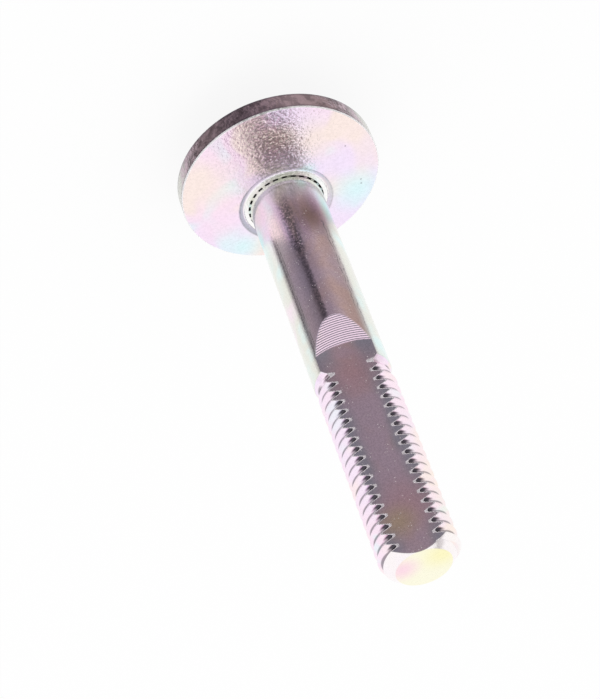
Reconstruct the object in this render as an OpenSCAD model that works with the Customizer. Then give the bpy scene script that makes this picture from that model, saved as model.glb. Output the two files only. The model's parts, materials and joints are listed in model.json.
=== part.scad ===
// Eccentric bolt, M12 x 1.75
// A hex bolt with one flat milled along its thread, and an eccentric disc pressed on
// a serrated seat under its head. Turning the bolt turns the disc, which shifts the
// part that its rim bears on, and the flat keeps the mating washer from turning.
// Millimetres. The origin is on the bolt's axis, at the outer face of the head, with
// +Z along the axis towards the tip. The flat and the disc's offset both face -Y.

/* [Head] */
// Width of the hexagon across its flats
head_af = 18; // [16:0.5:22]
// Height of the head
head_h = 7.5; // [5:0.1:10]
// Diameter of the round bearing face that the corner chamfer leaves
head_face_d = 17; // [14:0.1:17.9]
// Angle of the corner chamfer to the head's outer face
head_chamfer_angle = 30; // [15:1:40]

/* [Eccentric disc] */
// Diameter of the disc
disc_d = 31.8; // [28:0.1:44]
// Thickness of the disc
disc_t = 3.2; // [2:0.1:6]
// Distance from the bolt's axis to the disc's centre
eccentricity = 4.7; // [1:0.1:6]
// Chamfer on both edges of the rim
rim_chamfer = 0.3; // [0.1:0.05:0.8]
// Width of the land between the bore and the staked groove
groove_land = 0.6; // [0.2:0.1:2]
// Width of the staked groove
groove_w = 0.9; // [0.4:0.05:1.2]
// Depth of the staked groove
groove_depth = 0.25; // [0.1:0.05:0.4]

/* [Serrated seat] */
// Number of serrations that bite into the disc's bore
serration_count = 26; // [12:1:36]
// How far their crests stand above the shank, and their roots lie below it
serration_h = 0.2; // [0.1:0.05:0.5]
// Share of their pitch that the crests take
serration_share = 0.42; // [0.2:0.02:0.6]

/* [Shank] */
// Diameter of the plain shank
shank_d = 11.9; // [11.5:0.05:12]
// Length from the disc's face to the end of the plain shank
shank_len = 37.2; // [34:0.1:45]
// Length of the bolt from the underside of its head to its tip
bolt_len = 75.2; // [62:0.1:110]
// Angle of the shoulder behind the thread, to the axis
shoulder_angle = 35; // [20:1:60]
// Length of the plain neck between the shoulder and the thread
neck_len = 0.3; // [0.2:0.1:3]

/* [Thread] */
// Major diameter of the thread
thread_d = 11.85; // [11.5:0.05:11.9]
// Pitch of the thread
pitch = 1.75; // [1.25:0.25:2]
// Where the thread starts, as an angle about the axis from +X
thread_start_angle = 160; // [0:5:355]
// Straight steps in one turn of the thread
thread_steps = 32; // [24:4:48]
// Diameter of the tip's end face
tip_d = 8.2; // [7:0.1:9]
// Angle of the tip's chamfer, to the axis
tip_angle = 45; // [30:1:60]

/* [Flat] */
// Distance from the bolt's axis to the flat
flat_h = 4.1; // [3:0.1:5]
// Length from the disc's face to the end of the flat, along its middle
flat_start = 33.6; // [25:0.1:50]
// Radius of the milling cutter at the flat
cutter_r = 10.6; // [8:0.1:16]
// Angle of the cutter's conical run-out to the flat
runout_angle = 22.5; // [10:0.5:45]

/* [Hidden] */
$fn = 96;
// How far a cutter reaches past what it cuts, and a piece into what carries it
over = 1;
bury = 0.2;
face_z = head_h + disc_t;
tip_z = head_h + bolt_len;
seat_d = shank_d - 2 * serration_h;
bore_d = shank_d + 2 * serration_h;
shoulder_z = face_z + shank_len;
// A metric thread is a 60 degree form of height H: its pitch diameter lies 3/8 H inside
// the crest and its root 5/8 H, and the blank it is rolled on has the pitch diameter
thread_form_h = pitch * sqrt(3) / 2;
blank_d = thread_d - thread_form_h * 3 / 4;
root_d = thread_d - thread_form_h * 5 / 4;
shoulder_len = (shank_d - blank_d) / 2 / tan(shoulder_angle);
neck_z = shoulder_z + shoulder_len;
thread_z = neck_z + neck_len;
thread_turns = ceil((tip_z - thread_z) / pitch);
// How far inside the neck's surface the thread starts
thread_foot = 0.05;
// Half widths of the thread's crest and root, along the axis
crest_half = pitch / 16;
root_half = pitch / 8;
// Turns over which the thread rises to its full form
lead_turns = 0.75;

// How far the thread has risen to its full form after so many turns, from 0 to 1
function rise(turns) = min(1, turns / lead_turns);

// One turn of the thread on a line along the bolt, as points [radius, height]: both
// edges of its crest, then both edges of the root above it
function thread_turn(turns) =
    let (crest_z = thread_z + 2 * crest_half + pitch * turns)
    let (root_z = crest_z + pitch / 2)
    let (crest_r = (blank_d + (thread_d - blank_d) * rise(turns)) / 2)
    let (root_r = (blank_d + (root_d - blank_d) * rise(turns + 0.5)) / 2)
    [
        [crest_r, crest_z - crest_half],
        [crest_r, crest_z + crest_half],
        [root_r, root_z - root_half],
        [root_r, root_z + root_half],
    ];

// The whole thread on such a line, at step i of its first turn, from a foot inside the
// neck to a point past the tip
function thread_column(i) = [
    [blank_d / 2 - thread_foot, thread_z - bury],
    for (k = [0:thread_turns]) each thread_turn(k + i / thread_steps),
    [root_d / 2, thread_z + pitch * (thread_turns + 2.5)],
];

// The four-sided face between points a and b of two neighbouring lines and the points
// next above them, as two triangles
function thread_face(a, b) = [[a, a + 1, b], [b, a + 1, b + 1]];

// A closed helical rod. Each line of points joins the next one point for point, and
// the last joins the first one turn higher, where a fan of triangles closes each end
module thread() {
    rows = 4 * (thread_turns + 1) + 2;
    last = rows * (thread_steps - 1);
    points = [
        for (i = [0:thread_steps - 1])
            let (turn = thread_start_angle + 360 * i / thread_steps)
            for (p = thread_column(i)) [p[0] * cos(turn), p[0] * sin(turn), p[1]]
    ];
    sides = [
        for (i = [0:thread_steps - 2])
            for (j = [0:rows - 2]) each thread_face(rows * i + j, rows * (i + 1) + j)
    ];
    seam = [for (j = [1:rows - 6]) each thread_face(last + j, j + 4)];
    start_fan = [[last, last + 1, 0], for (j = [0:4]) [j + 1, j, last + 1]];
    end_fan = [for (j = [rows - 5:rows - 2]) [last + j, last + j + 1, rows - 1]];
    bottom = [for (i = [0:thread_steps - 1]) rows * i];
    top = [for (i = [thread_steps:-1:1]) rows * i - 1];
    polyhedron(points, concat(sides, seam, start_fan, end_fan, [bottom, top]), convexity = 10);
}

// What the turning tool takes off past the tip and round it
module tip_cutter() {
    reach = thread_d;
    drop = (reach - tip_d / 2) / tan(tip_angle);
    rotate_extrude()
        polygon([
            [0, tip_z],
            [tip_d / 2, tip_z],
            [reach, tip_z - drop],
            [reach, tip_z + 5 * pitch],
            [0, tip_z + 5 * pitch],
        ]);
}

// The turned length from the head to the thread: core of the serrated seat, plain
// shank, shoulder and neck
module shank() {
    rotate_extrude()
        polygon([
            [0, head_h - over],
            [seat_d / 2, head_h - over],
            [seat_d / 2, face_z],
            [shank_d / 2, face_z],
            [shank_d / 2, shoulder_z],
            [blank_d / 2, neck_z],
            [blank_d / 2, thread_z],
            [0, thread_z],
        ]);
}

// The cone's small end lies on the flat, and the box carries the cut on to the tip
module flat_cutter() {
    centre_z = face_z + flat_start + cutter_r;
    depth = shank_d / 2 - flat_h + over;
    width = shank_d + 2 * over;
    translate([0, -flat_h, centre_z])
        rotate([90, 0, 0])
            cylinder(r1 = cutter_r, r2 = cutter_r + depth / tan(runout_angle), h = depth);
    translate([-width / 2, -flat_h - depth, centre_z])
        cube([width, depth, tip_z - centre_z + over]);
}

module hex_head() {
    corner_r = head_af / sqrt(3);
    chamfer_h = (corner_r - head_face_d / 2) * tan(head_chamfer_angle);
    intersection() {
        cylinder(r = corner_r, h = head_h, $fn = 6);
        union() {
            cylinder(d1 = head_face_d, r2 = corner_r, h = chamfer_h);
            translate([0, 0, chamfer_h]) cylinder(r = corner_r, h = head_h - chamfer_h);
        }
    }
}

// Crests that fit the disc's bore, with a gap between each two. One faces -Y.
module serrations() {
    crest_angle = 360 / serration_count * serration_share;
    reach = bore_d;
    translate([0, 0, head_h])
        linear_extrude(disc_t)
            intersection() {
                circle(d = bore_d);
                union() {
                    circle(d = seat_d - 2 * bury);
                    for (i = [0:serration_count - 1])
                        rotate(360 / serration_count * i - 90)
                            polygon([
                                [0, 0],
                                [reach, -reach * tan(crest_angle / 2)],
                                [reach, reach * tan(crest_angle / 2)],
                            ]);
                }
            }
}

module bolt() {
    color("#a9a0ad") {
        hex_head();
        serrations();
        difference() {
            union() {
                shank();
                thread();
            }
            flat_cutter();
            tip_cutter();
        }
    }
}

module eccentric_disc() {
    groove_r = (pow(groove_w / 2, 2) + pow(groove_depth, 2)) / (2 * groove_depth);
    groove_mid = bore_d / 2 + groove_land + groove_w / 2;
    color("#e9dcea")
        translate([0, 0, head_h])
            difference() {
                translate([0, -eccentricity, 0])
                    rotate_extrude()
                        polygon([
                            [0, 0],
                            [disc_d / 2 - rim_chamfer, 0],
                            [disc_d / 2, rim_chamfer],
                            [disc_d / 2, disc_t - rim_chamfer],
                            [disc_d / 2 - rim_chamfer, disc_t],
                            [0, disc_t],
                        ]);
                translate([0, 0, -over]) cylinder(d = bore_d, h = disc_t + 2 * over);
                translate([0, 0, disc_t + groove_r - groove_depth])
                    rotate_extrude() translate([groove_mid, 0]) circle(r = groove_r);
            }
}

bolt();
eccentric_disc();
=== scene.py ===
"""Eccentric bolt: a hex bolt with a milled flat along its thread and an eccentric disc
pressed on under its head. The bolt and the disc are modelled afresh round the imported
solids, in metres, and get an iridescent zinc finish."""

import json
import math

import bmesh
import bpy
from bpy.props import FloatProperty
from bpy.props import FloatVectorProperty
from bpy.props import IntProperty
from bpy.props import PointerProperty
from mathutils import Matrix
from mathutils import Vector


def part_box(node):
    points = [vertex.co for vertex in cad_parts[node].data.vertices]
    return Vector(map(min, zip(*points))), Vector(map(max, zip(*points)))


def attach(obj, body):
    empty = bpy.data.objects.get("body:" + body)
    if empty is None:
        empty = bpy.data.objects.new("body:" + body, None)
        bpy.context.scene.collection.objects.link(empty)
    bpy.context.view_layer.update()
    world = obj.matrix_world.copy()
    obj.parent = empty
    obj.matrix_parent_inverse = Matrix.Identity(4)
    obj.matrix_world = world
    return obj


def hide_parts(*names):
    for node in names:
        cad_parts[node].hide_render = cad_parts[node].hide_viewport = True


bl_info = {
    "name": "Eccentric bolt",
    "version": (1, 0, 0),
    "blender": (4, 5, 0),
    "location": "View3D > Sidebar > Eccentric bolt",
    "description": "Models and finishes an eccentric bolt, its disc and their stage",
    "category": "Object",
}

MM = 0.001
# How near two points are merged, in millimetres
MERGE = 0.0005
# How far a cutter reaches past what it cuts, and a piece into what carries it
OVER = 1 * MM
BURY = 0.2 * MM
# Steps round a plain turned shape, and round a disc or a cutter
TURN_STEPS = 192
BORE_STEPS = 208
FINE_STEPS = 360
# The hood: its radius, how far it reaches either way round the bolt, and its lowest and
# highest points, seen from its middle
HOOD_R = 0.5
HOOD_REACH = math.radians(106)
HOOD_LOW = math.radians(-72)
HOOD_TOP = math.radians(47)
HOOD_RINGS = 20
HOOD_STEPS = 70
# Tones of the hood below and above the gap at its middle: bearing in degrees and colour
LOW_TONES = (
    (-104, (0.95, 0.95, 0.95)),
    (-96, (0.62, 0.60, 0.58)),
    (-80, (0.54, 0.50, 0.46)),
    (-40, (0.62, 0.57, 0.53)),
    (-14, (0.45, 0.41, 0.41)),
    (2, (0.37, 0.34, 0.36)),
    (12, (0.15, 0.14, 0.15)),
    (20, (0.15, 0.14, 0.15)),
    (34, (0.29, 0.28, 0.29)),
    (62, (0.45, 0.42, 0.41)),
    (80, (0.42, 0.40, 0.38)),
    (84, (0.08, 0.07, 0.08)),
    (88, (0.12, 0.11, 0.12)),
    (92, (0.60, 0.58, 0.56)),
    (104, (1.0, 1.0, 1.0)),
)
HIGH_TONES = (
    (-100, (1.0, 1.0, 1.0)),
    (-84, (0.60, 0.58, 0.58)),
    (-66, (0.46, 0.45, 0.42)),
    (-30, (0.46, 0.47, 0.43)),
    (4, (0.54, 0.56, 0.50)),
    (16, (0.46, 0.47, 0.45)),
    (32, (0.60, 0.60, 0.62)),
    (50, (0.95, 0.95, 0.95)),
    (60, (1.0, 1.0, 1.0)),
)
WHITE = (1.0, 1.0, 1.0)
FILM_TINTS = ("Rose", "Lavender", "Peach", "Aqua")
# Dark marks down the shank: the first three are painted dark reflections, a seam in two parts and
# a thin line, and the last two are rows of pits. Bearing, half width and wander in degrees, lowest
# and highest point from the disc's face in millimetres, depth of tone and scale of the breaks
SHANK_PITS_AND_DARK_REFLECTIONS = (
    (9, 13.0, 7.0, 2.0, 19.0, 0.9, 2400.0),
    (9, 7.0, 6.0, 12.0, 36.0, 0.6, 2400.0),
    (40, 0.8, 2.5, 8.0, 37.0, 0.75, 500.0),
    (-41, 1.0, 12.0, 4.0, 30.0, 0.8, 600.0),
    (-46, 0.9, 14.0, 8.0, 35.0, 0.8, 500.0),
)
# Length over which such a mark fades at either end, in millimetres
MARK_FADE = 5
# Patches on the flat: x, z and size in millimetres, share and colour
FLAT_PATCHES = (
    (0.3, 50, 7.0, 0.8, "russet"),
    (-0.6, 75, 7.5, 0.8, "russet"),
    (1.4, 77, 4.2, 0.75, "olive"),
)
# Broad stains on the disc's outer face: x, y and size in millimetres, and colour
FACE_STAINS = (
    (12, -9, 9.0, "peach"),
    (11, 0, 7.0, "rose"),
    (-9, -5, 6.0, "lavender"),
    (-7, -12, 7.0, "peach"),
    (-11.5, 1.8, 6.5, "aqua"),
    (8.5, 6.5, 5.0, "aqua"),
)
# Nicks in that face: x and y in millimetres
FACE_NICKS = ((-12.4, -0.1), (-12.3, 0.8), (-11.1, -8.4))

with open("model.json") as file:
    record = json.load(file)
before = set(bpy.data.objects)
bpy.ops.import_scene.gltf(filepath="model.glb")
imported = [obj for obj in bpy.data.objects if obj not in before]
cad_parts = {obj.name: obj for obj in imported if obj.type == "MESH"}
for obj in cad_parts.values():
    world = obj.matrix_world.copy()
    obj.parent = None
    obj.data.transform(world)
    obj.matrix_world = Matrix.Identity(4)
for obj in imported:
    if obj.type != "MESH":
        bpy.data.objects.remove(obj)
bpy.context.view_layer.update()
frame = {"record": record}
mounts = {mount["name"]: mount for mount in frame["record"]["mounts"]}
bolt_low, bolt_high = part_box("bolt")
disc_low, disc_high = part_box("eccentric_disc")
SHANK_D = 2 * mounts["shank"]["dims"]["r_mm"] * MM
SHANK_LEN = mounts["shank"]["dims"]["length_mm"] * MM
HEAD_H = disc_low.z
FACE_Z = disc_high.z
TIP_Z = bolt_high.z
DISC_D = disc_high.x - disc_low.x
ECCENTRICITY = -(disc_low.y + disc_high.y) / 2


def length(name, description, default, low=0.0, high=0.2):
    return FloatProperty(
        name=name,
        description=description,
        default=default,
        min=low,
        max=high,
        precision=5,
        unit="LENGTH",
    )


def angle(name, description, degrees):
    return FloatProperty(
        name=name,
        description=description,
        default=math.radians(degrees),
        subtype="ANGLE",
    )


def tint(name, description, rgb):
    return FloatVectorProperty(
        name=name,
        description=description,
        default=rgb,
        size=3,
        min=0.0,
        max=1.0,
        subtype="COLOR",
    )


class BoltSizes(bpy.types.PropertyGroup):
    head_af: length("Head across flats", "Width of the hexagon", bolt_high.y - bolt_low.y)
    head_face_d: length("Head face", "Round face left by the head's corner chamfer", 17 * MM)
    head_chamfer: angle("Head chamfer", "Angle of the corner chamfer to the head's face", 30)
    shank_d: length("Shank diameter", "Diameter of the plain shank", SHANK_D)
    shank_len: length("Shank length", "From the disc's face to the shoulder", SHANK_LEN)
    shoulder: angle("Shoulder", "Angle of the shoulder to the axis", 35)
    neck_len: length("Neck length", "Plain neck before the thread", 0.3 * MM)
    flat_h: length("Flat height", "From the axis to the milled flat", 4.1 * MM)
    flat_start: length("Flat start", "From the disc's face to the flat's end", 33.6 * MM)
    cutter_r: length("Cutter radius", "Radius of the milling cutter at the flat", 10.6 * MM)
    runout: angle("Run-out angle", "Angle of the cutter's run-out to the flat", 22.5)
    mark_gap: length("Tool mark spacing", "From one tool mark to the next", 0.31 * MM)
    mark_depth: length("Tool mark depth", "Depth of a tool mark", 0.03 * MM)
    tip_d: length("Tip diameter", "Diameter of the tip's end face", 8.2 * MM)
    tip_chamfer: angle("Tip chamfer", "Angle of the tip's chamfer to the axis", 45)


class ThreadSizes(bpy.types.PropertyGroup):
    major_d: length("Major diameter", "Diameter over the crests", 11.85 * MM)
    pitch: length("Pitch", "From one crest to the next", 1.75 * MM)
    lead_turns: FloatProperty(
        name="Lead-in",
        description="Turns over which the thread rises to its full form",
        default=0.75,
        min=0.1,
        max=3.0,
    )
    crest_z: length("First crest", "From the disc's face to a crest by the flat", 39.1 * MM)
    steps: IntProperty(
        name="Steps in a turn",
        description="Steps in one turn of the thread",
        default=96,
        min=24,
        max=160,
    )


class DiscSizes(bpy.types.PropertyGroup):
    disc_d: length("Disc diameter", "Diameter of the disc", DISC_D)
    eccentricity: length("Eccentricity", "From the bolt's axis to the disc's centre", ECCENTRICITY)
    rim_edge: length("Rim edge", "Size of the rounded chamfer on the rim's edges", 0.3 * MM)
    teeth: IntProperty(
        name="Serrations",
        description="Serrations that bite into the bore",
        default=26,
        min=8,
        max=60,
    )
    tooth_h: length("Serration height", "From the shank to a crest, and to a root", 0.2 * MM)
    tooth_share: FloatProperty(
        name="Serration share",
        description="Share of their pitch that the crests take",
        default=0.42,
        min=0.1,
        max=0.9,
        subtype="FACTOR",
    )
    land: length("Land", "Width of the land between the bore and the groove", 0.6 * MM)
    groove_w: length("Groove width", "Width of the staked groove", 0.9 * MM)
    groove_depth: length("Groove depth", "Depth of the staked groove", 0.25 * MM)


class FinishColours(bpy.types.PropertyGroup):
    rose: tint("Rose", "Rose patches of the zinc film", (1.0, 0.79, 0.93))
    blossom: tint("Blossom", "Film that evens out the thread", (1.0, 0.85, 0.95))
    lavender: tint("Lavender", "Lavender patches of the zinc film", (0.94, 0.81, 1.00))
    peach: tint("Peach", "Peach patches of the zinc film", (1.0, 0.85, 0.80))
    aqua: tint("Aqua", "Pale blue-green patches of the zinc film", (0.74, 0.98, 1.00))
    pearl: tint("Pearl", "Paler film on the sides of the shank", (0.84, 0.84, 0.77))
    # Mauve is partly painted shade on the front of the shank and on the flat, and the tone of the
    # rim's painted sheen
    mauve: tint("Mauve", "Film on the front of the shank and on the flat", (0.72, 0.58, 0.70))
    violet: tint("Violet", "Cooler side of that film", (0.68, 0.58, 0.74))
    brown: tint("Brown", "Brown patches of that film", (0.75, 0.56, 0.57))
    slate: tint("Slate", "Blue-grey edges of the flat", (0.50, 0.50, 0.59))
    rim: tint("Rim", "Film on the disc's rim", (0.53, 0.40, 0.46))
    cream: tint("Cream", "Yellow film on the tip's end face", (1.0, 0.95, 0.57))
    blush: tint("Blush", "Rose patch of the end face", (1.0, 0.70, 0.82))
    olive: tint("Olive", "Yellowish patch of the flat near the tip", (0.76, 0.62, 0.40))
    russet: tint("Russet", "Reddish patches of the flat", (0.76, 0.50, 0.56))
    # Dark marks and shade: the tone of pits and nicks, and of painted shade in the thread's roots,
    # on the seat and along the rim's edges, and of painted dark reflections down the shank
    dark_marks_and_shade: tint("Soot", "Shade in the roots of the thread and in the pits", (0.20, 0.18, 0.22))


class StageSettings(bpy.types.PropertyGroup):
    camera_place: FloatVectorProperty(
        name="Camera",
        description="Place of the camera",
        default=(0.01858, -0.25505, 0.2443),
        size=3,
        subtype="TRANSLATION",
        unit="LENGTH",
    )
    camera_turn: FloatVectorProperty(
        name="Camera turn",
        description="Turn of the camera",
        default=(math.radians(-49.532), math.radians(-15.449), math.radians(170.057)),
        size=3,
        subtype="EULER",
    )
    camera_lens: FloatProperty(
        name="Focal length",
        description="Focal length of the camera in millimetres",
        default=113.0,
        min=10.0,
    )
    floor_size: length("Floor size", "Length of the floor's side", 4.0, high=20.0)
    lamp_place: FloatVectorProperty(
        name="Lamp",
        description="Place of the soft lamp, which points at the bolt's middle",
        default=(0.5, 0.3, 0.9),
        size=3,
        subtype="TRANSLATION",
        unit="LENGTH",
    )
    lamp_size: length("Lamp size", "Diameter of the soft lamp", 0.6, high=5.0)
    lamp_power: FloatProperty(
        name="Lamp power",
        description="Power of the soft lamp",
        default=0.9,
        min=0.0,
        unit="POWER",
    )


# Meshes


def link_mesh(name, bm):
    mesh = bpy.data.meshes.new(name)
    bm.to_mesh(mesh)
    bm.free()
    piece = bpy.data.objects.new(name, mesh)
    bpy.context.scene.collection.objects.link(piece)
    return piece


def new_piece(name, bm):
    """Turns a bmesh into a linked object with merged points and outward faces. It is
    measured in millimetres until it is finished, which suits the solver that cuts it."""
    bmesh.ops.scale(bm, vec=(1 / MM, 1 / MM, 1 / MM), verts=bm.verts)
    bmesh.ops.remove_doubles(bm, verts=bm.verts, dist=MERGE)
    bmesh.ops.recalc_face_normals(bm, faces=bm.faces)
    return link_mesh(name, bm)


def outline(bm, points, closed=False):
    """Joins points, each a place in metres, with edges, and returns both."""
    verts = [bm.verts.new(point) for point in points]
    edges = [bm.edges.new(pair) for pair in zip(verts, verts[1:])]
    if closed:
        edges.append(bm.edges.new((verts[-1], verts[0])))
    return verts + edges


def turned(name, profile, steps=TURN_STEPS, centre=(0, 0, 0), axis=(0, 0, 1), closed=False):
    """Spins a profile of (radius, height) points once round an axis through a centre."""
    bm = bmesh.new()
    centre = Vector(centre)
    axis = Vector(axis)
    out = axis.orthogonal().normalized()
    geom = outline(bm, [centre + out * r + axis * z for r, z in profile], closed)
    bmesh.ops.spin(
        bm,
        geom=geom,
        cent=centre,
        axis=axis,
        dvec=(0, 0, 0),
        angle=math.tau,
        steps=steps,
        use_merge=True,
    )
    return new_piece(name, bm)


def block(name, low, high):
    bm = bmesh.new()
    bmesh.ops.create_cube(bm, size=1.0)
    bmesh.ops.scale(bm, vec=Vector(high) - Vector(low), verts=bm.verts)
    bmesh.ops.translate(bm, vec=(Vector(high) + Vector(low)) / 2, verts=bm.verts)
    return new_piece(name, bm)


def combine(piece, tool, operation):
    """Cuts, joins or intersects a piece with a tool, and removes the tool."""
    modifier = piece.modifiers.new(operation.lower(), "BOOLEAN")
    modifier.operation = operation
    modifier.solver = "MANIFOLD"
    modifier.object = tool
    depsgraph = bpy.context.evaluated_depsgraph_get()
    mesh = bpy.data.meshes.new_from_object(piece.evaluated_get(depsgraph))
    piece.modifiers.clear()
    old = piece.data
    piece.data = mesh
    bpy.data.meshes.remove(old)
    bpy.data.meshes.remove(tool.data)
    if not piece.data.polygons:
        raise RuntimeError(f"{piece.name} lost its faces in a {operation}")
    return piece


def finish_piece(piece, degrees):
    """Brings a piece to metres and shades it smooth, but for edges sharper than an angle."""
    bm = bmesh.new()
    bm.from_mesh(piece.data)
    bmesh.ops.remove_doubles(bm, verts=bm.verts, dist=MERGE)
    bmesh.ops.recalc_face_normals(bm, faces=bm.faces)
    bmesh.ops.scale(bm, vec=(MM, MM, MM), verts=bm.verts)
    bm.to_mesh(piece.data)
    bm.free()
    piece.data.polygons.foreach_set("use_smooth", [True] * len(piece.data.polygons))
    piece.data.set_sharp_from_angle(angle=math.radians(degrees))


def arc(centre, radius, start, end, steps):
    """Points on an arc about a (radius, height) centre, between two angles in degrees."""
    turns = [math.radians(start + (end - start) * i / steps) for i in range(steps + 1)]
    return [(centre[0] + radius * math.cos(a), centre[1] + radius * math.sin(a)) for a in turns]


# The bolt


def make_head(sizes):
    corner_r = sizes.head_af / math.sqrt(3)
    bm = bmesh.new()
    bmesh.ops.create_circle(bm, cap_ends=True, radius=corner_r, segments=6)
    turn = Matrix.Rotation(math.radians(30), 3, "Z")
    bmesh.ops.rotate(bm, cent=(0, 0, 0), matrix=turn, verts=bm.verts)
    grown = bmesh.ops.extrude_face_region(bm, geom=bm.faces)
    top = [v for v in grown["geom"] if isinstance(v, bmesh.types.BMVert)]
    bmesh.ops.translate(bm, vec=(0, 0, HEAD_H), verts=top)
    head = new_piece("bolt_body", bm)
    face_r = sizes.head_face_d / 2
    reach = corner_r + OVER
    chamfer_h = (reach - face_r) * math.tan(sizes.head_chamfer)
    envelope = turned(
        "envelope",
        [(0, 0), (face_r, 0), (reach, chamfer_h), (reach, HEAD_H + OVER), (0, HEAD_H + OVER)],
    )
    return combine(head, envelope, "INTERSECT")


def make_shank(sizes, seat_d, blank_d, thread_z):
    shoulder_z = FACE_Z + sizes.shank_len
    neck_z = shoulder_z + (sizes.shank_d - blank_d) / 2 / math.tan(sizes.shoulder)
    return turned(
        "shank",
        [
            (0, HEAD_H - OVER),
            (seat_d / 2, HEAD_H - OVER),
            (seat_d / 2, FACE_Z),
            (sizes.shank_d / 2, FACE_Z),
            (sizes.shank_d / 2, shoulder_z),
            (blank_d / 2, neck_z),
            (blank_d / 2, thread_z),
            (0, thread_z),
        ],
    )


def form_height(thread):
    """Height of the 60 degree form, from its sharp root to its sharp crest."""
    return thread.pitch * math.sqrt(3) / 2


def root_radius(thread):
    return thread.major_d / 2 - form_height(thread) * 5 / 8


def thread_form(thread):
    """One pitch of the thread's edge, from one root to the next, as (radius, height)."""
    pitch = thread.pitch
    major_r = thread.major_d / 2
    root_r = root_radius(thread)
    root_round = pitch * math.sqrt(3) / 8
    crest_round = pitch / 16 / math.tan(math.radians(30))
    low = arc((root_r + root_round, 0), root_round, 180, 120, 4)
    crest = arc((major_r - crest_round, pitch / 2), crest_round, -60, 60, 8)
    high = arc((root_r + root_round, pitch), root_round, 240, 180, 4)
    return low + crest + high


def on_level(edge, height, near=1e-7):
    return all(abs(vert.co.z - height) < near for vert in edge.verts)


def make_thread(thread, thread_z, blank_d):
    """A closed threaded rod. Its form rises out of the blank from thread_z on."""
    bm = bmesh.new()
    lift = thread.pitch / thread.steps
    turns_below = 3
    root_z = FACE_Z + thread.crest_z - thread.pitch / 2
    start_z = root_z - turns_below * thread.pitch
    turns = math.ceil((TIP_Z - start_z) / thread.pitch) + 1
    geom = outline(bm, [(0, -r, start_z + z) for r, z in thread_form(thread)])
    bmesh.ops.spin(
        bm,
        geom=geom,
        cent=(0, 0, 0),
        axis=(0, 0, 1),
        dvec=(0, 0, lift),
        angle=math.tau,
        steps=thread.steps,
    )
    one_turn = bm.verts[:] + bm.edges[:] + bm.faces[:]
    for i in range(1, turns):
        copied = bmesh.ops.duplicate(bm, geom=one_turn)
        verts = [v for v in copied["geom"] if isinstance(v, bmesh.types.BMVert)]
        bmesh.ops.translate(bm, vec=(0, 0, thread.pitch * i), verts=verts)
    bmesh.ops.remove_doubles(bm, verts=bm.verts, dist=MERGE * MM)
    # The form starts just under the blank's surface
    blank_r = blank_d / 2 - 0.02 * MM
    rise_len = thread.lead_turns * thread.pitch
    for vert in bm.verts:
        share = min(max((vert.co.z - thread_z) / rise_len, 0), 1)
        radius = vert.co.xy.length
        vert.co.xy *= (blank_r + (radius - blank_r) * share) / radius
    for height, side in ((thread_z - thread.pitch / 4, -1), (TIP_Z, 1)):
        bmesh.ops.bisect_plane(
            bm,
            geom=bm.verts[:] + bm.edges[:] + bm.faces[:],
            plane_co=(0, 0, height),
            plane_no=(0, 0, side),
            clear_outer=True,
        )
        rim = [e for e in bm.edges if e.is_boundary and on_level(e, height)]
        bmesh.ops.holes_fill(bm, edges=rim, sides=0)
    return new_piece("thread", bm)


def make_teeth(disc, seat_d, bore_d):
    """The serrations, each a small wedge sunk in the seat's core."""
    half = math.pi / disc.teeth * disc.tooth_share
    inner_r = seat_d / 2 - BURY
    outer_r = bore_d / 2
    corners = [(inner_r, -half), (outer_r, -half), (outer_r, half), (inner_r, half)]
    bm = bmesh.new()
    low_z = HEAD_H - BURY
    verts = [bm.verts.new((r * math.sin(a), -r * math.cos(a), low_z)) for r, a in corners]
    face = bm.faces.new(verts)
    grown = bmesh.ops.extrude_face_region(bm, geom=[face])
    top = [v for v in grown["geom"] if isinstance(v, bmesh.types.BMVert)]
    bmesh.ops.translate(bm, vec=(0, 0, FACE_Z - low_z), verts=top)
    bmesh.ops.spin(
        bm,
        geom=bm.verts[:] + bm.edges[:] + bm.faces[:],
        cent=(0, 0, 0),
        axis=(0, 0, 1),
        dvec=(0, 0, 0),
        angle=math.tau * (disc.teeth - 1) / disc.teeth,
        steps=disc.teeth - 1,
        use_duplicate=True,
    )
    return new_piece("teeth", bm)


def make_runout_cutter(sizes):
    """The cutter's cone, with a saw-toothed flank that leaves fine round tool marks."""
    depth = sizes.shank_d / 2 - sizes.flat_h + OVER
    centre = (0, -sizes.flat_h, FACE_Z + sizes.flat_start + sizes.cutter_r)
    slope = math.tan(sizes.runout)
    marks = int(depth / slope / sizes.mark_gap)
    # Share of the marks' spacing that their long side takes
    long_side = 0.8
    profile = [(0, 0)]
    for i in range(marks):
        r = sizes.cutter_r + sizes.mark_gap * i
        h = sizes.mark_gap * i * slope
        step = sizes.mark_gap * long_side
        profile.append((r, h))
        profile.append((r + step, h + step * slope - sizes.mark_depth))
    end_r, end_h = profile[-1]
    profile.append((end_r, end_h + OVER))
    profile.append((0, end_h + OVER))
    return turned("runout_cutter", profile, FINE_STEPS, centre, (0, -1, 0))


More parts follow.
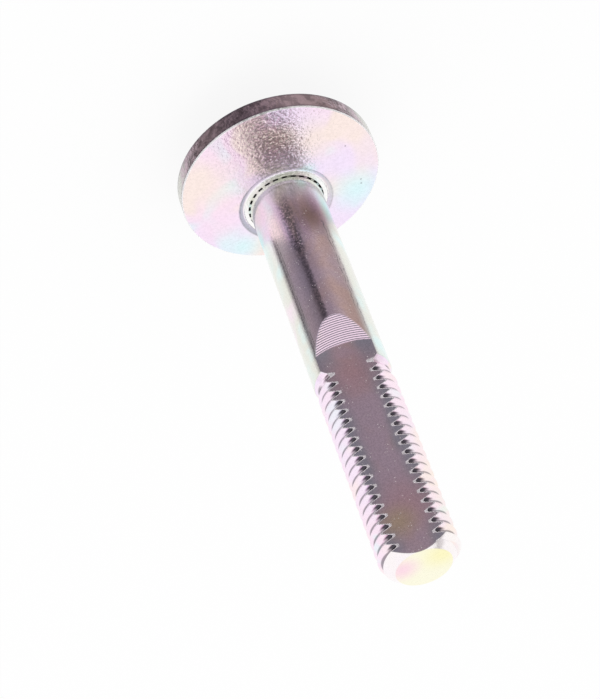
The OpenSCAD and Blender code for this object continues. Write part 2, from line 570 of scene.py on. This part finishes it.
class BOLT_OT_body(bpy.types.Operator):
    """Model the bolt: its head, serrated seat, shank, thread, milled flat and tip"""

    bl_idname = "bolt.body"
    bl_label = "Bolt body"

    def execute(self, context):
        sizes = context.scene.bolt_sizes
        thread = context.scene.thread_sizes
        disc = context.scene.disc_sizes
        blank_d = thread.major_d - form_height(thread) * 3 / 4
        seat_d = sizes.shank_d - 2 * disc.tooth_h
        bore_d = sizes.shank_d + 2 * disc.tooth_h
        shoulder_len = (sizes.shank_d - blank_d) / 2 / math.tan(sizes.shoulder)
        thread_z = FACE_Z + sizes.shank_len + shoulder_len + sizes.neck_len
        bolt = make_head(sizes)
        shank = make_shank(sizes, seat_d, blank_d, thread_z)
        combine(shank, make_thread(thread, thread_z, blank_d), "UNION")
        combine(shank, make_runout_cutter(sizes), "DIFFERENCE")
        centre_z = FACE_Z + sizes.flat_start + sizes.cutter_r
        reach = sizes.shank_d
        flat_box = block(
            "flat_box",
            (-reach, -reach, centre_z),
            (reach, -sizes.flat_h, TIP_Z + OVER),
        )
        combine(shank, flat_box, "DIFFERENCE")
        tip_r = sizes.tip_d / 2
        drop = (reach - tip_r) / math.tan(sizes.tip_chamfer)
        past_tip = TIP_Z + OVER / math.tan(sizes.tip_chamfer)
        corners = [(tip_r - OVER, past_tip), (reach, TIP_Z - drop), (reach, past_tip)]
        tip_ring = turned("tip_ring", corners, closed=True)
        combine(shank, tip_ring, "DIFFERENCE")
        combine(shank, make_teeth(disc, seat_d, bore_d), "UNION")
        combine(bolt, shank, "UNION")
        # Degrees, small enough to keep the saw-toothed marks crisp
        sharp_past = 17
        finish_piece(bolt, sharp_past)
        bolt.data.materials.clear()
        bolt.data.materials.append(bolt_finish(context.scene.finish_colours, sizes, thread))
        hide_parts("bolt")
        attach(bolt, "root")
        return {"FINISHED"}


class BOLT_OT_disc(bpy.types.Operator):
    """Model the eccentric disc with its bore and staked groove"""

    bl_idname = "bolt.disc"
    bl_label = "Eccentric disc"

    def execute(self, context):
        sizes = context.scene.bolt_sizes
        disc = context.scene.disc_sizes
        rim_r = disc.disc_d / 2
        edge = disc.rim_edge
        bore_r = sizes.shank_d / 2 + disc.tooth_h
        low = arc((rim_r - edge, HEAD_H + edge), edge, -90, 0, 6)
        high = arc((rim_r - edge, FACE_Z - edge), edge, 0, 90, 6)
        profile = [(0, HEAD_H)] + low + high + [(0, FACE_Z)]
        plate = turned("disc_plate", profile, FINE_STEPS, (0, -disc.eccentricity, 0))
        low_z = HEAD_H - OVER
        high_z = FACE_Z + OVER
        bore = [(0, low_z), (bore_r, low_z), (bore_r, high_z), (0, high_z)]
        combine(plate, turned("bore", bore, BORE_STEPS), "DIFFERENCE")
        round_r = (disc.groove_w**2 / 4 + disc.groove_depth**2) / (2 * disc.groove_depth)
        middle = bore_r + disc.land + disc.groove_w / 2
        ring = arc((middle, FACE_Z + round_r - disc.groove_depth), round_r, -180, 180, 48)[:-1]
        combine(plate, turned("groove", ring, BORE_STEPS, closed=True), "DIFFERENCE")
        sharp_past = 25
        finish_piece(plate, sharp_past)
        plate.data.materials.clear()
        plate.data.materials.append(disc_finish(context.scene.finish_colours, disc))
        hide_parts("eccentric_disc")
        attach(plate, "root")
        return {"FINISHED"}


# Materials


def shade(colour, share):
    return [channel * share for channel in colour]


class Nodes:
    """Adds and links nodes in a tree, from left to right."""

    def __init__(self, tree):
        self.tree = tree
        self.tree.nodes.clear()

    def add(self, kind, sockets=None, **settings):
        node = self.tree.nodes.new(kind)
        for key, value in settings.items():
            setattr(node, key, value)
        for key, value in (sockets or {}).items():
            if isinstance(value, bpy.types.NodeSocket):
                self.tree.links.new(value, node.inputs[key])
            else:
                node.inputs[key].default_value = value
        return node

    def math(self, operation, first, second=0.0, third=0.0):
        node = self.add("ShaderNodeMath", {0: first, 1: second, 2: third}, operation=operation)
        return node.outputs[0]

    def times(self, first, *others):
        """The product of masks and values."""
        for other in others:
            first = self.math("MULTIPLY", first, other)
        return first

    def vector(self, operation, first, second=(0, 0, 0)):
        node = self.add("ShaderNodeVectorMath", {0: first, 1: second}, operation=operation)
        gives_value = operation in ("LENGTH", "DISTANCE")
        return node.outputs["Value" if gives_value else "Vector"]

    def band(self, value, start, end, low=0.0, high=1.0):
        """Rises from low to high as the value goes from start to end."""
        sockets = {
            "Value": value,
            "From Min": start,
            "From Max": end,
            "To Min": low,
            "To Max": high,
        }
        return self.add("ShaderNodeMapRange", sockets, interpolation_type="SMOOTHSTEP").outputs[0]

    def mix(self, share, first, second, blend="MIX"):
        node = self.add("ShaderNodeMix", data_type="RGBA", blend_type=blend)
        for key, value in ((0, share), (6, first), (7, second)):
            if isinstance(value, bpy.types.NodeSocket):
                self.tree.links.new(value, node.inputs[key])
            elif key == 0:
                node.inputs[key].default_value = value
            else:
                node.inputs[key].default_value = (*value[:3], 1.0)
        return node.outputs[2]

    def spot(self, place, centre, size):
        """1 at a centre in millimetres, and 0 from a distance in millimetres on."""
        away = self.vector("DISTANCE", place, [c * MM for c in centre])
        return self.band(away, size * MM, 0.0)

    def ramp(self, value, stops):
        """A colour ramp through stops, each a place from 0 to 1 and a colour."""
        node = self.add("ShaderNodeValToRGB", {"Fac": value})
        points = node.color_ramp.elements
        while len(points) < len(stops):
            points.new(0.5)
        for point, (place, colour) in zip(points, stops):
            point.position = place
            point.color = (*colour, 1.0)
        return node.outputs["Color"]

    def noise(self, place, scale, detail=2.0, rough=0.5, warp=0.0):
        sockets = {
            "Vector": place,
            "Scale": scale,
            "Detail": detail,
            "Roughness": rough,
            "Distortion": warp,
        }
        return self.add("ShaderNodeTexNoise", sockets).outputs["Fac"]


def group_tree(name, inputs, outputs):
    """A shader node group with named sockets, each given as (name, type, default)."""
    tree = bpy.data.node_groups.new(name, "ShaderNodeTree")
    for label, kind, default in inputs:
        socket = tree.interface.new_socket(label, in_out="INPUT", socket_type=kind)
        if default is not None:
            socket.default_value = default
    for label, kind in outputs:
        tree.interface.new_socket(label, in_out="OUTPUT", socket_type=kind)
    return tree


def zinc_film_group():
    """Patches of interference colour that drift from one tint to the next."""
    if "Zinc film" in bpy.data.node_groups:
        return bpy.data.node_groups["Zinc film"]
    colour = "NodeSocketColor"
    inputs = [("Place", "NodeSocketVector", None), ("Scale", "NodeSocketFloat", 90.0)]
    inputs += [(name, colour, (*WHITE, 1.0)) for name in FILM_TINTS]
    tree = group_tree("Zinc film", inputs, [("Color", colour)])
    n = Nodes(tree)
    start = n.add("NodeGroupInput").outputs
    broad = n.noise(start["Place"], start["Scale"], 1.0, 0.4, 0.3)
    second = n.noise(start["Place"], n.times(start["Scale"], 1.7), 1.0, 0.4, 0.5)
    warm = n.mix(n.band(broad, 0.38, 0.62), start["Lavender"], start["Rose"])
    pale = n.mix(n.band(second, 0.48, 0.66), warm, start["Peach"])
    cool = n.mix(n.band(second, 0.42, 0.26), pale, start["Aqua"])
    n.add("NodeGroupOutput", {"Color": cool})
    return tree


def grain_group():
    """Fine speckle of the plated surface, as a height, a shade and sparse specks."""
    if "Plated grain" in bpy.data.node_groups:
        return bpy.data.node_groups["Plated grain"]
    inputs = [("Place", "NodeSocketVector", None), ("Scale", "NodeSocketFloat", 3000.0)]
    outputs = [(name, "NodeSocketFloat") for name in ("Height", "Shade", "Speck")]
    tree = group_tree("Plated grain", inputs, outputs)
    n = Nodes(tree)
    start = n.add("NodeGroupInput").outputs
    fine = n.noise(start["Place"], start["Scale"], 2.0, 0.6)
    cells = n.add(
        "ShaderNodeTexVoronoi",
        {"Vector": start["Place"], "Scale": n.times(start["Scale"], 0.8)},
        feature="SMOOTH_F1",
    )
    height = n.math("MULTIPLY_ADD", cells.outputs["Distance"], -0.5, fine)
    shaded = n.band(fine, 0.35, 0.65)
    few = n.times(start["Scale"], 0.6)
    dots = n.add("ShaderNodeTexVoronoi", {"Vector": start["Place"], "Scale": few})
    speck = n.band(dots.outputs["Distance"], 0.28, 0.10)
    n.add("NodeGroupOutput", {"Height": height, "Shade": shaded, "Speck": speck})
    return tree


class Surface(Nodes):
    """The nodes of a piece's material. It knows a point's place on the piece, its x, y
    and z, and its distance from the bolt's axis."""

    def __init__(self, name):
        self.material = bpy.data.materials.new(name)
        self.material.use_nodes = True
        super().__init__(self.material.node_tree)
        self.place = self.add("ShaderNodeTexCoord").outputs["Object"]
        self.x, self.y, self.z = self.add("ShaderNodeSeparateXYZ", {"Vector": self.place}).outputs
        self.radius = self.vector("LENGTH", self.vector("MULTIPLY", self.place, (1, 1, 0)))

    def film(self, colours, scale):
        node = self.add("ShaderNodeGroup", node_tree=zinc_film_group())
        self.tree.links.new(self.place, node.inputs["Place"])
        node.inputs["Scale"].default_value = scale
        for name in FILM_TINTS:
            node.inputs[name].default_value = (*getattr(colours, name.lower()), 1.0)
        return node.outputs["Color"]

    def grain(self, scale):
        node = self.add("ShaderNodeGroup", node_tree=grain_group())
        self.tree.links.new(self.place, node.inputs["Place"])
        node.inputs["Scale"].default_value = scale
        return node.outputs

    def finish(self, colour, rough, height, strength, distance):
        """Joins everything to a metal shader. Returns the material."""
        sockets = {"Strength": strength, "Distance": distance, "Height": height}
        bump = self.add("ShaderNodeBump", sockets)
        shader = self.add(
            "ShaderNodeBsdfPrincipled",
            {
                "Base Color": colour,
                "Roughness": rough,
                "Metallic": 1.0,
                "Normal": bump.outputs[0],
            },
        )
        self.add("ShaderNodeOutputMaterial", {"Surface": shader.outputs[0]})
        return self.material


# The bolt's finish


def shank_colour(n, colours, patchy, dull, front):
    """Paler film on the sides and a duller, darker one in front that is partly painted shade, a
    brown blot and a painted gleam.
    """
    side = n.mix(n.band(patchy, 0.46, 0.68, 0.0, 0.7), colours.pearl, colours.aqua)
    side = n.mix(n.band(patchy, 0.46, 0.28, 0.0, 0.7), side, colours.rose)
    cool = n.mix(n.band(n.x, -0.5 * MM, 2.5 * MM, 0.0, 0.7), dull, colours.violet)
    shank = n.mix(front, side, cool)
    blot = n.spot(n.place, (-2.8, -5.2, 19.3), 6.0)
    shank = n.mix(blot, shank, shade(colours.brown, 0.5))
    # The gleam is a painted highlight: a round spot where the height counts for less, so it is a
    # long one
    drawn_out = n.vector("MULTIPLY", n.place, (1, 1, 0.3))
    gleam = n.spot(drawn_out, (3.75, -4.6, 5.5), 3.4)
    return n.mix(gleam, shank, (1.0, 0.92, 1.0))


def shank_pits_and_dark_reflections(n, along, bearing):
    """Painted dark reflections, a seam and a thin line, and two rows of pits down the shank's
    front.
    """
    fine = n.noise(n.place, 900.0, 3.0, 0.6)
    marks = 0.0
    for degrees, half_width, wobble, low_z, high_z, depth, breaks in SHANK_PITS_AND_DARK_REFLECTIONS:
        middle = math.radians(-wobble / 2 - degrees)
        strays = n.math("MULTIPLY_ADD", fine, math.radians(wobble), middle)
        off = n.math("ABSOLUTE", n.math("ADD", bearing, strays))
        half = math.radians(half_width)
        mark = n.band(off, half, half * 0.3, 0.0, depth)
        begun = n.band(along, low_z * MM, (low_z + MARK_FADE) * MM)
        ended = n.band(along, high_z * MM, (high_z - MARK_FADE) * MM)
        broken = n.band(n.noise(n.place, breaks, 2.0, 0.6), 0.36, 0.56)
        marks = n.math("MAXIMUM", marks, n.times(mark, begun, ended, broken))
    return marks


def seat_shade(n, sizes):
    """The outer end of the serrated seat, on its far side."""
    shank_r = sizes.shank_d / 2
    proud = n.band(n.radius, shank_r + 0.02 * MM, shank_r + 0.06 * MM)
    far = n.band(n.x, 0, -2 * MM, 0.0, 0.8)
    from_z = n.band(n.z, FACE_Z - 0.1 * MM, FACE_Z - 0.05 * MM)
    to_z = n.band(n.z, FACE_Z + 0.1 * MM, FACE_Z + 0.05 * MM)
    return n.times(proud, far, from_z, to_z)


def tool_mark_shade(n, sizes):
    """Painted shade in the valleys of the tool marks on the cutter's run-out."""
    gap = sizes.mark_gap
    below = n.math("SUBTRACT", n.z, FACE_Z + sizes.flat_start + sizes.cutter_r)
    swept = n.add("ShaderNodeCombineXYZ", {"X": n.x, "Y": below}).outputs[0]
    swept = n.vector("LENGTH", swept)
    valley = n.math("MULTIPLY_ADD", swept, 1 / gap, -sizes.cutter_r / gap)
    valley = n.band(n.math("FRACT", valley), 0.62, 0.78)
    shank_r = sizes.shank_d / 2
    cut = n.band(n.radius, shank_r - 0.04 * MM, shank_r - 0.1 * MM)
    above_flat = n.band(n.y, -sizes.flat_h - 0.02 * MM, -sizes.flat_h - 0.05 * MM)
    before_flat = n.band(below, -5 * MM, -6 * MM)
    off_seat = n.band(n.z, FACE_Z + 10 * MM, FACE_Z + 20 * MM)
    return n.times(valley, cut, above_flat, before_flat, off_seat)


def flat_mask(n, sizes):
    start_z = FACE_Z + sizes.flat_start
    outer = n.band(n.y, -sizes.flat_h - 0.03 * MM, -sizes.flat_h - 0.01 * MM)
    inner = n.band(n.y, -sizes.flat_h + 0.03 * MM, -sizes.flat_h + 0.01 * MM)
    return n.times(outer, inner, n.band(n.z, start_z, start_z + 0.1 * MM))


def flat_colour(n, colours, sizes, patchy, dull, across):
    """Dull film, partly painted shade, with grey edges, reddish patches and a yellowish one near
    the tip.
    """
    ragged = n.math("MULTIPLY_ADD", patchy, 5 * MM, across)
    milled = n.mix(n.band(ragged, 3.3 * MM, 5.7 * MM), dull, colours.slate)
    for x, z, size, share, name in FLAT_PATCHES:
        patch = n.spot(n.place, (x, -sizes.flat_h / MM, z), size)
        milled = n.mix(n.times(patch, share), milled, getattr(colours, name))
    return milled


def burr_highlight_mask(n, thread, bearing, flat, threaded):
    """A painted highlight where the flat's edge cuts the thread and is burred, just inside the
    thread's form at that height and bearing."""
    crest_turns = (FACE_Z + thread.crest_z) / thread.pitch
    turns = n.math("MULTIPLY_ADD", n.z, 1 / thread.pitch, 0.5 - crest_turns)
    turns = n.math("FRACT", n.math("MULTIPLY_ADD", bearing, -1 / math.tau, turns))
    off_crest = n.math("ABSOLUTE", n.math("SUBTRACT", turns, 0.5))
    major_r = thread.major_d / 2
    sharp_r = major_r + thread.pitch * math.sqrt(3) / 16
    form_r = n.math("MULTIPLY_ADD", off_crest, -thread.pitch * math.sqrt(3), sharp_r)
    form_r = n.math("MAXIMUM", n.math("MINIMUM", form_r, major_r), root_radius(thread))
    burr_highlight = n.band(n.math("SUBTRACT", form_r, n.radius), 0.26 * MM, 0.14 * MM)
    return n.times(burr_highlight, flat, threaded)


def root_shade(n, sizes, thread, across, flat, threaded):
    """Painted shade in the roots of the thread, most of all where the flat cuts them. The shade is
    wider at the bolt's sides, and stops short of the tip's chamfer."""
    root_r = root_radius(thread)
    sideways = n.math("MULTIPLY_ADD", across, 0.31, -4.2 * 0.31 * MM)
    shade_r = n.math("ADD", n.math("MAXIMUM", sideways, 0.0), root_r + 0.16 * MM)
    past_shade_r = n.math("SUBTRACT", n.radius, shade_r)
    in_root = n.band(past_shade_r, 0.03 * MM, -0.09 * MM, 0.0, 0.66)
    by_flat = n.band(n.y, -sizes.flat_h + 1.2 * MM, -sizes.flat_h + 0.4 * MM)
    cut_root = n.times(n.band(n.radius, root_r + 0.45 * MM, root_r + 0.2 * MM), by_flat)
    in_root = n.math("MAXIMUM", in_root, cut_root)
    off_flat = n.math("SUBTRACT", 1.0, flat)
    off_tip = n.band(n.math("ADD", n.z, n.radius), TIP_Z + 3.5 * MM, TIP_Z + 3.1 * MM)
    return n.times(in_root, threaded, off_flat, off_tip)


def end_colour(n, colours):
    """Cream, with a yellow patch and a rose one."""
    pale_cream = [(channel + 1) / 2 for channel in colours.cream]
    yellow = n.spot(n.place, (-2.8, -1.8, TIP_Z / MM), 4.5)
    blush = n.spot(n.place, (3.0, -1.1, TIP_Z / MM), 3.6)
    colour = n.mix(yellow, pale_cream, colours.cream)
    return n.mix(n.times(blush, 0.9), colour, colours.blush)


def bolt_finish(colours, sizes, thread):
    n = Surface("Passivated bolt")
    shank_r = sizes.shank_d / 2
    shoulder_z = FACE_Z + sizes.shank_len
    bearing = n.math("ARCTAN2", n.x, n.times(n.y, -1.0))
    along = n.math("SUBTRACT", n.z, FACE_Z)
    across = n.math("ABSOLUTE", n.x)
    patchy = n.noise(n.place, 130.0, 2.0, 0.5, 0.4)
    # The film is more even on the thread, and creamier on its far side near the tip
    tipward = n.band(n.z, shoulder_z, shoulder_z + 1 * MM, 0.0, 0.55)
    colour = n.mix(tipward, n.film(colours, 110.0), colours.blossom)
    far = n.band(n.x, -3 * MM, -5.7 * MM)
    warm = n.times(far, n.band(n.z, 55 * MM, 72 * MM, 0.1, 0.5), tipward)
    colour = n.mix(warm, colour, colours.cream)
    # The plain shank
    before_thread = n.band(n.z, shoulder_z + 0.5 * MM, shoulder_z)
    turned_face = n.band(n.radius, shank_r - 0.12 * MM, shank_r - 0.06 * MM)
    on_shank = n.times(before_thread, turned_face)
    # The front of the shank gets the duller, darker film: partly the film's own colour, partly
    # painted shade
    front = n.band(n.y, -sizes.shank_d * 0.28, -sizes.shank_d * 0.42)
    front = n.times(front, n.band(n.z, FACE_Z + 1.5 * MM, FACE_Z + 6.5 * MM))
    dull = n.mix(n.band(patchy, 0.42, 0.64), colours.mauve, colours.brown)
    colour = n.mix(on_shank, colour, shank_colour(n, colours, patchy, dull, front))
    # Painted dark reflections and pits down the shank's front
    colour = n.mix(n.times(shank_pits_and_dark_reflections(n, along, bearing), on_shank), colour, colours.dark_marks_and_shade)
    colour = n.mix(seat_shade(n, sizes), colour, shade(colours.dark_marks_and_shade, 0.5))
    # The run-out and the flat
    colour = n.mix(tool_mark_shade(n, sizes), colour, shade(colours.slate, 0.5))
    flat = flat_mask(n, sizes)
    milled = flat_colour(n, colours, sizes, patchy, dull, across)
    colour = n.mix(flat, colour, milled)
    # The thread
    threaded = n.band(n.z, shoulder_z + 0.3 * MM, shoulder_z + 0.8 * MM)
    burr_highlight = burr_highlight_mask(n, thread, bearing, flat, threaded)
    # Painted highlight on the burred edge of the flat
    colour = n.mix(burr_highlight, colour, (1.0, 0.97, 1.0))
    roots = root_shade(n, sizes, thread, across, flat, threaded)
    colour = n.mix(roots, colour, shade(colours.dark_marks_and_shade, 0.4))
    # The tip, whose chamfer is whiter
    chamfer_sum = TIP_Z + sizes.tip_d / 2
    on_tip = n.math("ADD", n.z, n.radius)
    on_tip = n.band(on_tip, chamfer_sum - 0.15 * MM, chamfer_sum - 0.05 * MM, 0.0, 0.7)
    colour = n.mix(on_tip, colour, (1.0, 0.98, 0.98))
    end = n.band(n.z, TIP_Z - 0.05 * MM, TIP_Z - 0.02 * MM)
    colour = n.mix(end, colour, end_colour(n, colours))
    # Grain all over, and pale specks where the film is dull
    speckle = n.grain(3600.0)
    dusty = n.math("MAXIMUM", n.times(front, on_shank), flat)
    worn = n.math("MULTIPLY_ADD", dusty, 0.24, 0.10)
    colour = n.mix(n.times(speckle["Shade"], worn), colour, (0.6, 0.6, 0.6), "MULTIPLY")
    here_and_there = n.band(n.noise(n.place, 700.0, 1.0), 0.52, 0.60)
    speck = n.times(speckle["Speck"], here_and_there, dusty)
    colour = n.mix(n.times(speck, 0.7), colour, (1.0, 0.95, 0.95))
    rough = n.band(speckle["Shade"], 0.0, 1.0, 0.12, 0.20)
    rough = n.math("MAXIMUM", rough, n.times(speck, 0.6))
    rough = n.math("MAXIMUM", rough, n.times(burr_highlight, 0.9))
    return n.finish(colour, rough, speckle["Height"], 0.5, 0.02 * MM)


# The disc's finish


def groove_colour(n, colours, disc, colour):
    """Painted shade in the staked groove, stronger towards +x and weaker towards -y, round a
    bright inner ridge.
    """
    groove_r = SHANK_D / 2 + disc.tooth_h + disc.land + disc.groove_w / 2
    past_groove = n.math("SUBTRACT", n.radius, groove_r)
    off_middle = n.math("ABSOLUTE", n.math("SUBTRACT", past_groove, 0.15 * MM))
    in_groove = n.band(off_middle, disc.groove_w * 0.6, disc.groove_w * 0.2)
    shade_by_x = n.band(n.x, -4 * MM, 4 * MM, 0.5, 0.95)
    shade_by_y = n.band(n.y, -7.5 * MM, -3 * MM, 0.4, 1.0)
    colour = n.mix(n.times(in_groove, shade_by_x, shade_by_y), colour, colours.slate)
    ridge = n.band(past_groove, -0.15 * MM, -0.4 * MM)
    return n.mix(ridge, colour, (1.0, 0.99, 0.98))


def rim_colour(n, colours):
    """Dull and mottled, with a painted reflection that makes it paler towards its ends, a painted
    sheen, and painted shade along both its edges.
    """
    mottle = n.noise(n.place, 600.0, 3.0, 0.7, 0.3)
    rim = n.mix(n.band(mottle, 0.42, 0.60), colours.rim, shade(colours.rim, 0.5))
    end_reflection = n.math("MULTIPLY_ADD", mottle, 6 * MM, n.math("ABSOLUTE", n.x))
    end_reflection = n.band(end_reflection, 16.0 * MM, 18.2 * MM)
    rim = n.mix(end_reflection, rim, shade(colours.pearl, 0.74))
    sheen = n.spot(n.place, (-5, -20, 9.2), 7.0)
    rim = n.mix(n.times(sheen, 0.25), rim, colours.mauve)
    face_edge_shade = n.band(n.z, FACE_Z - 0.70 * MM, FACE_Z - 0.40 * MM, 0.0, 0.5)
    rim = n.mix(face_edge_shade, rim, colours.dark_marks_and_shade)
    head_edge_shade = n.band(n.z, HEAD_H + 0.7 * MM, HEAD_H + 0.2 * MM, 0.0, 0.6)
    return n.mix(head_edge_shade, rim, colours.dark_marks_and_shade)


def disc_finish(colours, disc):
    n = Surface("Passivated disc")
    face_mm = FACE_Z / MM
    colour = n.film(colours, 75.0)
    for x, y, size, name in FACE_STAINS:
        stain = n.spot(n.place, (x, y, face_mm), size)
        colour = n.mix(n.times(stain, 0.9), colour, getattr(colours, name))
    colour = groove_colour(n, colours, disc, colour)
    on_face = n.band(n.z, FACE_Z - 0.30 * MM, FACE_Z - 0.26 * MM)
    colour = n.mix(on_face, rim_colour(n, colours), colour)
    # The rounded edge between them gets a painted highlight
    rounded = n.band(n.z, FACE_Z - 0.02 * MM, FACE_Z - 0.06 * MM)
    edge = n.times(on_face, rounded, n.band(n.radius, 9 * MM, 10 * MM))
    colour = n.mix(edge, colour, (1.0, 0.99, 1.0))
    for x, y in FACE_NICKS:
        nick = n.spot(n.place, (x, y, face_mm), 0.22)
        colour = n.mix(n.times(nick, 0.9), colour, colours.dark_marks_and_shade)
    # A grainy streak crosses the face in front of the bolt
    speckle = n.grain(2300.0)
    off_streak = n.math("ABSOLUTE", n.math("ADD", n.x, 0.3 * MM))
    streak = n.band(off_streak, 5.5 * MM, 2 * MM)
    streak = n.times(streak, n.band(n.y, -6 * MM, -8 * MM), on_face)
    worn = n.math("MULTIPLY_ADD", streak, 0.7, 0.10)
    colour = n.mix(n.times(speckle["Shade"], worn), colour, (0.42, 0.43, 0.42), "MULTIPLY")
    rough = n.band(speckle["Shade"], 0.0, 1.0, 0.14, 0.22)
    rough = n.math("MAXIMUM", rough, n.times(edge, 0.8))
    speck = n.times(speckle["Speck"], streak)
    height = n.math("MULTIPLY_ADD", speck, 1.8, speckle["Height"])
    return n.finish(colour, rough, height, 1.0, 0.09 * MM)


# The stage


def floor_finish():
    material = bpy.data.materials.new("Pale floor")
    material.use_nodes = True
    n = Nodes(material.node_tree)
    # The floor glows white where it is seen, and the paint keeps the shadow
    glow_share = 0.88
    path = n.add("ShaderNodeLightPath").outputs
    seen = n.math("MAXIMUM", path["Is Camera Ray"], path["Is Glossy Ray"])
    seen = n.math("MAXIMUM", seen, path["Is Transmission Ray"])
    paint = n.add("ShaderNodeBsdfDiffuse", {"Color": (0.9, 0.9, 0.9, 1)})
    glow = n.add("ShaderNodeEmission", {"Color": (*WHITE, 1.0), "Strength": 1.0})
    share = n.times(seen, glow_share)
    both = n.add("ShaderNodeMixShader", {0: share, 1: paint.outputs[0], 2: glow.outputs[0]})
    n.add("ShaderNodeOutputMaterial", {"Surface": both.outputs[0]})
    return material


def hood_finish(middle):
    """Dull tones by bearing and height round the bolt, with a bright gap at its level."""
    material = bpy.data.materials.new("Dark hood")
    material.use_nodes = True
    n = Nodes(material.node_tree)
    place = n.add("ShaderNodeTexCoord").outputs["Object"]
    away = n.vector("SUBTRACT", place, middle)
    x, y, height = n.add("ShaderNodeSeparateXYZ", {"Vector": away}).outputs
    bearing = n.math("ARCTAN2", x, n.times(y, -1.0))
    share = n.math("MULTIPLY_ADD", bearing, 1 / (2 * HOOD_REACH), 0.5)

    def tones(stops):
        reach = math.degrees(HOOD_REACH)
        return n.ramp(share, [(0.5 + degrees / reach / 2, tone) for degrees, tone in stops])

    low = tones(LOW_TONES)
    high = tones(HIGH_TONES)
    tone = n.mix(n.band(height, -0.02, 0.02), low, high)
    gap = n.band(n.math("ABSOLUTE", height), 0.16, 0.10)
    tone = n.mix(gap, tone, (0.9, 0.88, 0.9))
    # A dark band runs round the front under the top, and the top edge fades to white
    band_start = HOOD_R * math.sin(math.radians(42))
    band_full = HOOD_R * math.sin(math.radians(43.5))
    in_front = n.band(n.math("ABSOLUTE", bearing), math.radians(55), math.radians(45), 0.0, 0.9)
    upper = n.times(n.band(height, band_start, band_full), in_front)
    tone = n.mix(upper, tone, (0.06, 0.06, 0.07))
    top_z = HOOD_R * math.sin(HOOD_TOP)
    tone = n.mix(n.band(height, top_z - 0.01, top_z), tone, WHITE)
    glow = n.add("ShaderNodeEmission", {"Color": tone, "Strength": 1.0})
    n.add("ShaderNodeOutputMaterial", {"Surface": glow.outputs[0]})
    return material


def make_floor(size):
    bm = bmesh.new()
    bmesh.ops.create_grid(bm, x_segments=1, y_segments=1, size=size / 2)
    floor = link_mesh("floor", bm)
    floor.data.materials.append(floor_finish())
    # Reflections see the hood and the white room past the floor
    floor.visible_glossy = False


def make_hood(middle):
    """A dark hood round the near side, which reaches below the floor. Only reflections
    see it."""
    bm = bmesh.new()
    rise = (HOOD_TOP - HOOD_LOW) / HOOD_RINGS
    rings = [HOOD_LOW + rise * i for i in range(HOOD_RINGS + 1)]
    start = -HOOD_REACH
    edge = [(HOOD_R * math.cos(a), HOOD_R * math.sin(a)) for a in rings]
    points = [(r * math.sin(start), -r * math.cos(start), middle[2] + z) for r, z in edge]
    bmesh.ops.spin(
        bm,
        geom=outline(bm, points),
        cent=(0, 0, 0),
        axis=(0, 0, 1),
        dvec=(0, 0, 0),
        angle=2 * HOOD_REACH,
        steps=HOOD_STEPS,
    )
    hood = link_mesh("dark_hood", bm)
    hood.data.materials.append(hood_finish(middle))
    hood.visible_camera = False
    hood.visible_diffuse = False
    hood.visible_shadow = False
    hood.visible_transmission = False


def make_lamp(stage, aim):
    light = bpy.data.lights.new("key_lamp", "AREA")
    light.shape = "DISK"
    light.size = stage.lamp_size
    light.energy = stage.lamp_power
    lamp = bpy.data.objects.new("key_lamp", light)
    lamp.location = stage.lamp_place
    beam = Vector(aim) - Vector(stage.lamp_place)
    lamp.rotation_euler = beam.to_track_quat("-Z", "Y").to_euler()
    lamp.visible_glossy = False
    bpy.context.scene.collection.objects.link(lamp)


def make_world():
    world = bpy.data.worlds.new("Soft white room")
    bpy.context.scene.world = world
    world.use_nodes = True
    n = Nodes(world.node_tree)
    room = n.add("ShaderNodeBackground", {"Color": (*WHITE, 1.0), "Strength": 1.0})
    n.add("ShaderNodeOutputWorld", {"Surface": room.outputs[0]})


class BOLT_OT_stage(bpy.types.Operator):
    """Set up the floor, the dark hood, the room, the soft lamp and the camera"""

    bl_idname = "bolt.stage"
    bl_label = "Stage and camera"

    def execute(self, context):
        stage = context.scene.stage_settings
        make_floor(stage.floor_size)
        middle = (0, 0, TIP_Z / 2)
        make_hood(middle)
        make_world()
        make_lamp(stage, middle)
        camera = bpy.data.cameras.new("camera")
        camera.lens = stage.camera_lens
        camera.clip_start = 0.01
        holder = bpy.data.objects.new("camera", camera)
        holder.location = stage.camera_place
        holder.rotation_euler = stage.camera_turn
        context.scene.collection.objects.link(holder)
        context.scene.camera = holder
        context.scene.view_settings.view_transform = "Standard"
        return {"FINISHED"}


class BOLT_PT_panel(bpy.types.Panel):
    bl_idname = "BOLT_PT_panel"
    bl_label = "Eccentric bolt"
    bl_space_type = "VIEW_3D"
    bl_region_type = "UI"
    bl_category = "Eccentric bolt"

    def draw(self, context):
        scene = context.scene
        for label, settings, operator in (
            ("Bolt", scene.bolt_sizes, "bolt.body"),
            ("Thread", scene.thread_sizes, None),
            ("Disc", scene.disc_sizes, "bolt.disc"),
            ("Finish", scene.finish_colours, None),
            ("Stage", scene.stage_settings, "bolt.stage"),
        ):
            box = self.layout.box()
            box.label(text=label)
            for key in settings.__annotations__:
                box.prop(settings, key)
            if operator:
                box.operator(operator)


SETTINGS = (
    ("bolt_sizes", BoltSizes),
    ("thread_sizes", ThreadSizes),
    ("disc_sizes", DiscSizes),
    ("finish_colours", FinishColours),
    ("stage_settings", StageSettings),
)
TOOLS = (BOLT_OT_body, BOLT_OT_disc, BOLT_OT_stage, BOLT_PT_panel)


def register():
    for name, settings in SETTINGS:
        bpy.utils.register_class(settings)
        setattr(bpy.types.Scene, name, PointerProperty(type=settings))
    for tool in TOOLS:
        bpy.utils.register_class(tool)


def unregister():
    for tool in reversed(TOOLS):
        bpy.utils.unregister_class(tool)
    for name, settings in reversed(SETTINGS):
        delattr(bpy.types.Scene, name)
        bpy.utils.unregister_class(settings)


def main():
    register()
    bpy.ops.bolt.body()
    bpy.ops.bolt.disc()
    bpy.ops.bolt.stage()


if __name__ == "__main__":
    main()
